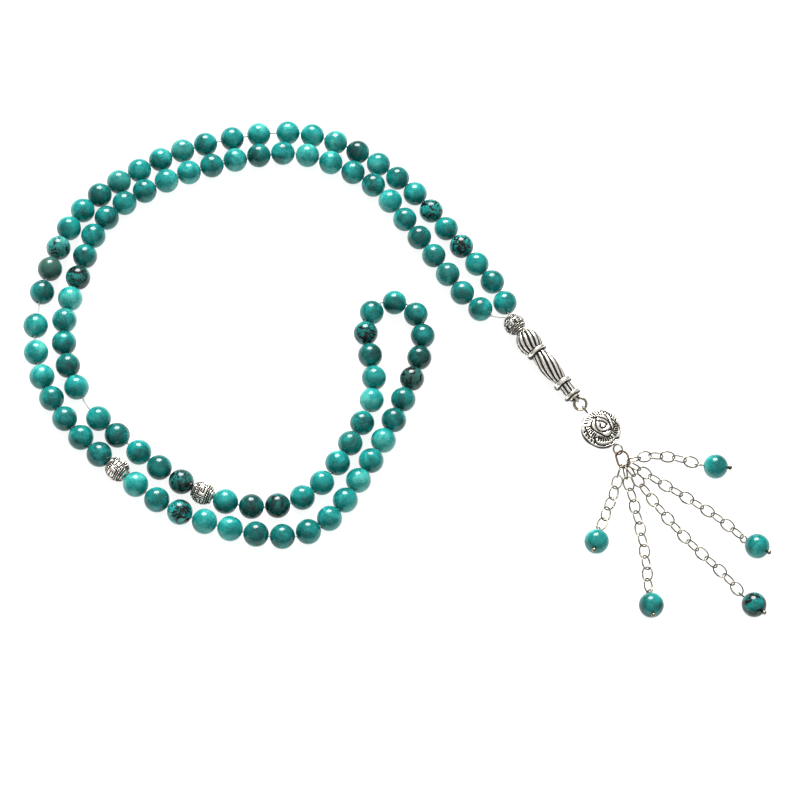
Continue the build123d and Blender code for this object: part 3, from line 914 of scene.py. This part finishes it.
# ---- leader ---------------------------------------------------------------
@dataclass
class Leader:
    """The turned silver leader: a ribbed bulb, a fluted barrel and a fluted waist between collars."""

    length: float = 28.3
    bore: float = 1.25
    neck: float = 1.9
    bulb: float = 4.05
    bulb_end: float = 7.6
    bulb_middle: float = 4.03
    collars: Tuple[Tuple[float, float, float], ...] = ((7.6, 1.4, 3.65), (21.0, 1.6, 3.3), (26.3, 1.1, 3.1))
    barrel: Tuple[float, float, float] = (2.5, 3.2, 2.0)
    waist: float = 2.1
    pocket: Tuple[float, float] = (1.6, 3.2)
    lean: float = 0.085        # radians of twist per millimetre
    # ribs of the bulb, barrel and waist: number, depth in mm, share of the twist
    flutes: Tuple[Tuple[int, float, float], ...] = ((14, 0.75, 0.9), (11, 0.55, 1.0), (9, 0.42, 0.5))
    collar_edge: float = 0.75  # mm, how far a collar's rim is rounded
    margin: float = 0.02       # mm, between a collar and the ribs
    steps: int = 216

    def body_outline(self) -> List[Point]:
        """Radius at each place along the leader, from its top mouth down."""
        corners = []
        upper = self.bulb_middle / math.sqrt(1 - (self.neck / self.bulb) ** 2)
        lower = (self.bulb_end - self.bulb_middle) / math.sqrt(1 - 0.49)
        for k in range(46):
            s = self.bulb_end * k / 45
            reach = upper if s < self.bulb_middle else lower
            corners.append((self.bulb * math.sqrt(1 - ((s - self.bulb_middle) / reach) ** 2), s))
        sections = list(zip(self.collars, self.collars[1:] + ((self.length, 0.0, 0.0),)))
        for number, ((start, width, radius), (following, _, _)) in enumerate(sections):
            foot = radius - self.collar_edge
            for k in range(15):
                t = -1.0 + 2.0 * k / 14
                swell = (1 - abs(t) ** 2.6) ** (1 / 2.6)
                corners.append((foot + self.collar_edge * swell, start + width * (t + 1) / 2))
            begin = start + width
            count = (52, 20, 6)[number]
            for k in range(count + 1):
                t = k / count
                corners.append((self.between_radius(number, t), begin + (following - begin) * t))
        return corners

    def between_radius(self, number: int, t: float) -> float:
        """Radius of the part below a collar.

        Args:
            number: Which collar, from the top.
            t: Share of the way down to the next one.

        Returns:
            The radius in millimetres.
        """
        first, middle, last = self.barrel
        if number == 0 and t < 0.45:
            return first + (middle - first) * math.sin(math.pi / 2 * t / 0.45)
        if number == 0:
            return middle - (middle - last) * ((t - 0.45) / 0.55) ** 1.8
        return self.waist if number == 1 else self.neck

    def ribs(self, angle: np.ndarray, along: np.ndarray, start: float, end: float,
             count: int, lean: float) -> np.ndarray:
        """How far into a groove between ribs each point lies.

        Args:
            angle: Angle about the axis.
            along: Place along the axis.
            start: Where the ribs begin.
            end: Where they end.
            count: Number of ribs.
            lean: Twist in radians per millimetre.

        Returns:
            0 on a crest and 1 in a groove, faded out at both ends.
        """
        crest = np.abs(np.sin(count / 2 * (angle - lean * (along - start)))) ** 0.62
        ends = smooth_step(along, start, start + 0.5) * (1 - smooth_step(along, end - 0.5, end))
        inside = (along > start) & (along < end)
        return np.where(inside, (1 - crest) * ends, 0.0)

    def collar_corners(self, out: np.ndarray, along: np.ndarray) -> np.ndarray:
        """How deep in the corner beside a collar each point lies.

        Args:
            out: Distance from the axis.
            along: Place along the axis.

        Returns:
            1 in a corner, fading to 0 away from it.
        """
        corner = np.zeros(len(out))
        for start, width, radius in self.collars:
            for edge in (start, start + width):
                near = 1 - smooth_step(np.abs(along - edge), 0.05, 0.45)
                corner = np.maximum(corner, near * (out < radius - 0.35))
        return corner

    def build(self) -> bpy.types.Object:
        """Turn, flute and place the leader."""
        wide, deep = self.pocket
        floor = self.length - deep
        inner = [(self.neck - 0.15, self.length), (wide, self.length), (wide, floor),
                 (self.bore, floor), (self.bore, self.length / 2), (self.bore, 0.0)]
        leader = turn("leader_silver", self.body_outline() + inner, self.steps)
        rows = points_of(leader.data)
        out = np.hypot(rows[:, 0], rows[:, 1])
        angle = np.arctan2(rows[:, 1], rows[:, 0])
        along = rows[:, 2]
        gap = self.margin
        outer = out > self.bore + 0.25
        outer &= ~((out < wide + gap) & (along > floor - gap))
        (c1, w1, _), (c2, w2, _), (c3, _, _) = self.collars
        spans = ((0.25, self.bulb_end - gap), (c1 + w1 + gap, c2 - gap), (c2 + w2 + gap, c3 - gap))
        depth, flute = np.zeros(len(rows)), np.zeros(len(rows))
        for (start, end), (count, cut, share) in zip(spans, self.flutes):
            ribs = self.ribs(angle, along, start, end, count, self.lean * share)
            depth += cut * ribs
            flute = np.maximum(flute, ribs)
        corner = self.collar_corners(out, along)
        rows[:, :2] *= (1 - np.where(outer, depth, 0.0) / np.maximum(out, 0.5))[:, None]
        move_points(leader.data, rows)
        place, axis = joint("leader_spin")
        leader.data.transform(placing(place, axis, UP))
        # Black patina in the flutes and beside the collars, plus painted shade on the underside and sides.
        carved = np.maximum(np.maximum(smooth_step(flute, 0.10, 0.40), corner), underside(leader.data))
        set_values(leader.data, "patina_and_shade", np.where(outer, carved, 1.0))
        return dress(leader, Slot.SILVER, ["leader_bead"])


# ---- ring and rose ---------------------------------------------------------------
@dataclass
class SplitRing:
    """A ring of two turns of wire, side by side."""

    outer: float = 4.6
    thickness: float = 0.7
    wire: float = 0.30        # mm, radius of the wire
    stagger: float = 0.16     # mm, one turn inside the other
    steps: int = 72

    def build(self) -> bpy.types.Object:
        """Wind, place and dress the ring."""
        middle = self.outer / 2 - self.thickness / 2
        apart = self.thickness / 2 - self.wire
        rings = []
        for side in (-1, 1):
            outline = [(middle + self.wire * math.cos(math.pi * k / 6) + self.stagger * side,
                        apart * side + self.wire * math.sin(math.pi * k / 6)) for k in range(12)]
            rings.append(turn("ring_turn", outline, self.steps))
        only(rings[0])
        rings[1].select_set(True)
        bpy.ops.object.join()
        ring = bpy.context.object
        ring.name = "split_ring"
        rows, _ = solids_of("tassel_ring")[0]
        lowest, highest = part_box("tassel_ring")
        along, _, normal = main_axes(rows)
        ring.data.transform(placing((lowest + highest) / 2, normal, along))
        return dress(ring, Slot.WIRE, ["tassel_ring"])


@dataclass
class RoseBead:
    """The puffed silver rose, carved alike on both faces."""

    diameter: float = 13.3
    thickness: float = 5.2
    rim: float = 2.2
    pin_bore: float = 0.9
    steps: int = 330
    rows: int = 74
    line_width: float = 0.27
    depth: float = 0.42
    puff: float = 0.30         # mm, soft hollow towards a petal's edge
    rim_shade: float = 0.55
    lobes: int = 5
    scallop: float = 0.035     # how far the rim dips between lobes, as a share
    # carved lines, in shares of the radius
    petals: Tuple[Tuple[Point, ...], ...] = (
        ((-0.07, 0.10), (-0.12, 0.00), (-0.05, -0.08), (0.07, -0.08), (0.19, 0.05), (0.21, 0.14),
         (0.08, 0.24), (-0.08, 0.28), (-0.29, 0.27)),
        ((-0.47, 0.42), (-0.30, 0.43), (-0.34, 0.12), (-0.29, -0.10), (-0.17, -0.25), (0.03, -0.28),
         (0.26, -0.20), (0.43, -0.07)),
        ((-0.43, 0.45), (-0.17, 0.50), (0.06, 0.45), (0.26, 0.32), (0.37, 0.11), (0.44, -0.07)),
        ((0.20, 0.66), (0.31, 0.41), (0.39, 0.12), (0.46, -0.08), (0.40, -0.17)),
        ((-0.50, 0.27), (-0.55, 0.00), (-0.47, -0.18), (-0.28, -0.32), (-0.09, -0.40), (0.10, -0.50),
         (0.32, -0.49), (0.46, -0.28), (0.57, 0.00), (0.55, 0.20), (0.47, 0.42)),
        ((-0.62, -0.56), (-0.44, -0.62), (-0.24, -0.58), (-0.05, -0.64)),
        ((-0.62, -0.56), (-0.74, -0.32), (-0.82, -0.06)),
        ((-0.38, -0.66), (-0.32, -0.80), (-0.18, -0.90), (0.10, -0.93), (0.40, -0.84)),
        ((0.46, -0.82), (0.62, -0.62), (0.70, -0.52), (0.82, -0.46)),
        ((0.24, 0.92), (0.40, 0.66), (0.52, 0.44), (0.68, 0.30), (0.84, 0.16), (0.90, -0.02)),
        ((0.06, 0.90), (0.30, 0.86)),
    )
    # bands of short radial cuts: start and end angle in degrees, inner and outer share, number
    hatches: Tuple[Tuple[float, float, float, float, int], ...] = (
        (70.0, 166.0, 0.66, 0.84, 11), (182.0, 232.0, 0.56, 0.72, 6), (252.0, 310.0, 0.56, 0.74, 7),
        (-32.0, 16.0, 0.62, 0.78, 6), (32.0, 60.0, 0.80, 0.90, 4), (198.0, 244.0, 0.88, 0.95, 5),
    )

    def face_height(self, out: float) -> float:
        """Height of the uncarved face.

        Args:
            out: Distance from the middle, in millimetres.

        Returns:
            Height over the middle plane.
        """
        share = out / (self.diameter / 2)
        return self.rim / 2 + (self.thickness - self.rim) / 2 * (1 - share ** 2)

    def outline(self) -> List[Point]:
        """Half the section, from the middle of the front to the middle of the back."""
        radius = self.diameter / 2
        round_off = 0.35 * self.rim
        places = [0.02 + (radius - round_off) * k / self.rows for k in range(self.rows + 1)]
        front = [(out, self.face_height(out)) for out in places]
        foot = front[-1][1]
        for k in range(1, 7):
            turned = math.pi / 2 * k / 6
            front.append((radius - round_off + round_off * math.sin(turned),
                          foot - round_off + round_off * math.cos(turned)))
        back = [(out, -height) for out, height in reversed(front)]
        return front + back

    def carved_lines(self) -> List[List[Point]]:
        """Petal edges and radial cuts, in millimetres."""
        radius = self.diameter / 2
        lines = [[(x * radius, y * radius) for x, y in rounded_line(stroke)] for stroke in self.petals]
        for start, end, inner, outer, count in self.hatches:
            for k in range(count):
                turned = math.radians(start + (end - start) * k / (count - 1))
                ends = ((inner * radius, turned), (outer * radius, turned + 0.06))
                lines.append([(far * math.cos(way), far * math.sin(way)) for far, way in ends])
        return lines

    def lie(self) -> Matrix:
        """Matrix from the rose's millimetres to its place, its front up."""
        solid, _ = solids_of("rose_bead")[0]
        normal = main_axes(solid)[2]
        normal = normal if normal.z > 0 else -normal
        return placing(joint("rose_spin")[0], normal, Vector((1.0, 0.0, 0.0)))

    def build(self) -> bpy.types.Object:
        """Turn, carve, bore and place the rose."""
        rose = turn("rose_silver", self.outline(), self.steps)
        rows = points_of(rose.data)
        radius = self.diameter / 2
        flat = np.column_stack([rows[:, 0] * np.sign(rows[:, 2] + 1e-9), rows[:, 1]])
        gap = nearness(flat, self.carved_lines())
        out = np.hypot(rows[:, 0], rows[:, 1])
        face = 1 - smooth_step(out, 0.955 * radius, 0.99 * radius)
        cut = (1 - smooth_step(gap, 0.45 * self.line_width, 1.15 * self.line_width)) * face
        soft = (1 - smooth_step(gap, 0.0, 4.2 * self.line_width)) * face
        rows[:, 2] -= np.sign(rows[:, 2]) * (self.depth * cut + self.puff * soft)
        waver = 0.5 + 0.5 * np.sin(self.lobes * np.arctan2(flat[:, 1], flat[:, 0]) + 0.9)
        inward = 1 - self.scallop * waver ** 2 * smooth_step(out, 0.80 * radius, 0.97 * radius)
        rows[:, :2] *= inward[:, None]
        move_points(rose.data, rows)
        side = (np.abs(rows[:, 2]) < 0.30 * self.rim) & (out > 0.97 * radius)
        set_values(rose.data, "patina_and_shade", np.maximum(cut, np.where(side, self.rim_shade, 0.0)))
        self.bore_through(rose)
        rose.data.transform(self.lie())
        return dress(rose, Slot.SILVER, ["rose_bead"])

    def bore_through(self, rose: bpy.types.Object) -> None:
        """Cut the pin's bore across the rose.

        Args:
            rose: The rose, still in its own place.
        """
        local = self.lie().inverted().to_3x3() @ joint("rose_spin")[1]
        bpy.ops.object.select_all(action="DESELECT")
        bpy.ops.mesh.primitive_cylinder_add(vertices=24, radius=self.pin_bore / 2, depth=2 * self.diameter)
        drill = bpy.context.object
        drill.data.transform(local.to_track_quat("Z", "Y").to_matrix().to_4x4())
        only(rose)
        cutting = rose.modifiers.new("bore", "BOOLEAN")
        cutting.operation = "DIFFERENCE"
        cutting.solver = "EXACT"
        cutting.object = drill
        bpy.ops.object.modifier_apply(modifier="bore")
        bpy.data.objects.remove(drill)


# ---- chains ---------------------------------------------------------------
@dataclass
class OvalChain:
    """Chain links of round wire, each an oval with a slight curb twist."""

    length: float = 5.2
    width: float = 3.8
    wire: float = 0.5
    twist: float = 0.06
    fullness: float = 2.15    # 2 is an ellipse, more is squarer
    around: int = 40
    sides: int = 10

    def link(self, place: Matrix, bow: float) -> Tuple[np.ndarray, np.ndarray]:
        """Shape one link.

        Args:
            place: Matrix from the link's millimetres to the row frame.
            bow: Small change of the link's width, as a share.

        Returns:
            Its vertices and its four-cornered faces.
        """
        turned = np.linspace(0, FULL_TURN, self.around, endpoint=False)
        power = 2.0 / self.fullness
        reach, half = (self.length - self.wire) / 2, (self.width - self.wire) / 2 * (1 + bow)
        line = np.column_stack([
            reach * np.sign(np.cos(turned)) * np.abs(np.cos(turned)) ** power,
            half * np.sign(np.sin(turned)) * np.abs(np.sin(turned)) ** power,
            self.twist * np.sin(2 * turned)])
        run = np.roll(line, -1, axis=0) - np.roll(line, 1, axis=0)
        run /= np.linalg.norm(run, axis=1)[:, None]
        side = np.cross(run, np.array([0.0, 0.0, 1.0]))
        side /= np.linalg.norm(side, axis=1)[:, None]
        rise = np.cross(side, run)
        spin = np.linspace(0, FULL_TURN, self.sides, endpoint=False)
        round_off = np.cos(spin)[:, None] * side[:, None] + np.sin(spin)[:, None] * rise[:, None]
        rows = (line[:, None] + self.wire / 2 * round_off).reshape(-1, 3)
        matrix = np.array(place)
        faces = []
        for k in range(self.around):
            here, there = k * self.sides, (k + 1) % self.around * self.sides
            for n in range(self.sides):
                beside = (n + 1) % self.sides
                faces.append([here + n, here + beside, there + beside, there + n])
        return rows @ matrix[:3, :3].T + matrix[:3, 3], np.array(faces)

    def build(self) -> None:
        """Build every chain, one piece for each of its two lengths."""
        for node in sorted(name for name in frame["nodes"] if name.startswith("chain_")):
            chance = random.Random(node)
            shapes = []
            for rows, _ in solids_of(node):
                long_way, _, normal = main_axes(rows)
                middle = Vector((rows.min(0) + rows.max(0)) / 2)
                normal = normal if normal.z > 0 else -normal
                shapes.append(self.link(placing(middle, normal, long_way), chance.uniform(-0.04, 0.0)))
            piece = add_shapes(node + "_links", shapes)
            dress(face_outward(piece), Slot.WIRE, [node])


# ---- kept CAD pieces ---------------------------------------------------------------
@dataclass(frozen=True)
class KeptPieces:
    """CAD nodes whose shape is already right: pins, the tassel's link, strings and the knot."""

    prefixes: Tuple[Tuple[str, Slot], ...] = (
        ("string_", Slot.STRING), ("leader_string", Slot.STRING), ("leader_knot", Slot.STRING),
        ("headpin_", Slot.WIRE), ("rose_pin", Slot.WIRE),
        ("tassel_link", Slot.BRONZE),
    )

    def build(self) -> None:
        """Give each kept node its finish."""
        for name, node in frame["nodes"].items():
            slot = next((slot for prefix, slot in self.prefixes if name.startswith(prefix)), None)
            if slot is None:
                continue
            node.data.materials.clear()
            node.data.materials.append(FINISHES[slot])
            log.info("%s keeps its CAD shape", name)


# ---- studio ---------------------------------------------------------------
@dataclass
class Studio:
    """White floor, soft light and the camera."""

    distance: float = 0.8135
    tilt: float = 28.15          # degrees from straight down
    bearing: float = 255.84      # degrees in plan, from the target to the camera
    target: Tuple[float, float, float] = (0.00184, -0.01332, 0.0)
    lens: float = 113.92
    floor_size: float = 6.0
    floor_colour: Colour = (0.35, 0.35, 0.35)
    floor_glow: float = 0.86
    horizon: float = 0.22        # brightness of the sky
    zenith: float = 0.80
    lamp_place: Tuple[float, float, float] = (-0.20, 0.95, 0.90)
    lamp_size: Point = (0.85, 0.75)
    lamp_power: float = 40.0     # watts

    def camera(self) -> None:
        """Place the camera over the beads, with the row's Y axis up the picture."""
        tilt, bearing = math.radians(self.tilt), math.radians(self.bearing)
        out = math.sin(tilt)
        away = Vector((out * math.cos(bearing), out * math.sin(bearing), math.cos(tilt)))
        data = bpy.data.cameras.new("camera")
        data.lens = self.lens
        data.sensor_width = 36.0
        data.clip_end = 20.0
        camera = bpy.data.objects.new("camera", data)
        right = Vector((0.0, 1.0, 0.0)).cross(away).normalized()
        upward = away.cross(right)
        turned = Matrix((right, upward, away)).transposed().to_4x4()
        camera.matrix_world = Matrix.Translation(Vector(self.target) + away * self.distance) @ turned
        bpy.context.scene.collection.objects.link(camera)
        bpy.context.scene.camera = camera

    def lamp(self) -> None:
        """Hang a far soft box that points at the beads."""
        data = bpy.data.lights.new("far_box", "AREA")
        data.shape = "ELLIPSE"
        data.size, data.size_y = self.lamp_size
        data.energy = self.lamp_power
        lamp = bpy.data.objects.new("far_box", data)
        lamp.location = self.lamp_place
        lamp.rotation_euler = (-Vector(self.lamp_place)).to_track_quat("-Z", "Y").to_euler()
        bpy.context.scene.collection.objects.link(lamp)

    def floor(self) -> None:
        """Lay the white floor."""
        bpy.ops.object.select_all(action="DESELECT")
        bpy.ops.mesh.primitive_plane_add(size=self.floor_size, location=(0.0, 0.0, 0.0))
        floor = bpy.context.object
        floor.name = "floor"
        graph = Graph("white_floor")
        floor.data.materials.append(graph.finish(
            self.floor_colour, Roughness=0.9, Emission_Color=WHITE, Emission_Strength=self.floor_glow))

    def sky(self) -> None:
        """Make a plain sky that brightens towards its top."""
        world = bpy.data.worlds.new("studio")
        bpy.context.scene.world = world
        world.use_nodes = True
        tree = world.node_tree
        tree.nodes["Background"].inputs["Color"].default_value = (*WHITE, 1.0)
        place = tree.nodes.new("ShaderNodeTexCoord")
        parts = tree.nodes.new("ShaderNodeSeparateXYZ")
        climb = tree.nodes.new("ShaderNodeMapRange")
        for k, value in enumerate((0.1, 0.9, self.horizon, self.zenith)):
            climb.inputs[k + 1].default_value = value
        tree.links.new(place.outputs["Generated"], parts.inputs[0])
        tree.links.new(parts.outputs["Z"], climb.inputs[0])
        tree.links.new(climb.outputs[0], tree.nodes["Background"].inputs["Strength"])

    def build(self) -> None:
        """Set everything up."""
        self.camera()
        self.floor()
        self.sky()
        self.lamp()
        bpy.context.scene.view_settings.view_transform = "Standard"


def main() -> None:
    """Build the misbaha's looks, then its studio."""
    logging.basicConfig(level=logging.INFO, format="%(message)s")
    StoneBeads().build()
    for letter, turned in (("a", 0.3), ("b", 1.5)):
        node = "marker_bead_" + letter
        marker = EngravedBead(node, node + "_silver", 7.2, 6.8, turned=turned)
        marker.build(*joint(f"marker_{letter}_spin"))
    lowest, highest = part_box("collector_bead")
    middle = (lowest + highest) / 2
    collector = EngravedBead("collector_bead", "collector_silver", 7.0, 6.6, units=6, turned=0.8,
                             bore=1.2, taper=0.95, lip=0.12)
    collector.build(middle, joint("leader_swing")[0] - middle)
    Leader().build()
    SplitRing().build()
    RoseBead().build()
    OvalChain().build()
    KeptPieces().build()
    Studio().build()


if __name__ == "__main__":
    main()
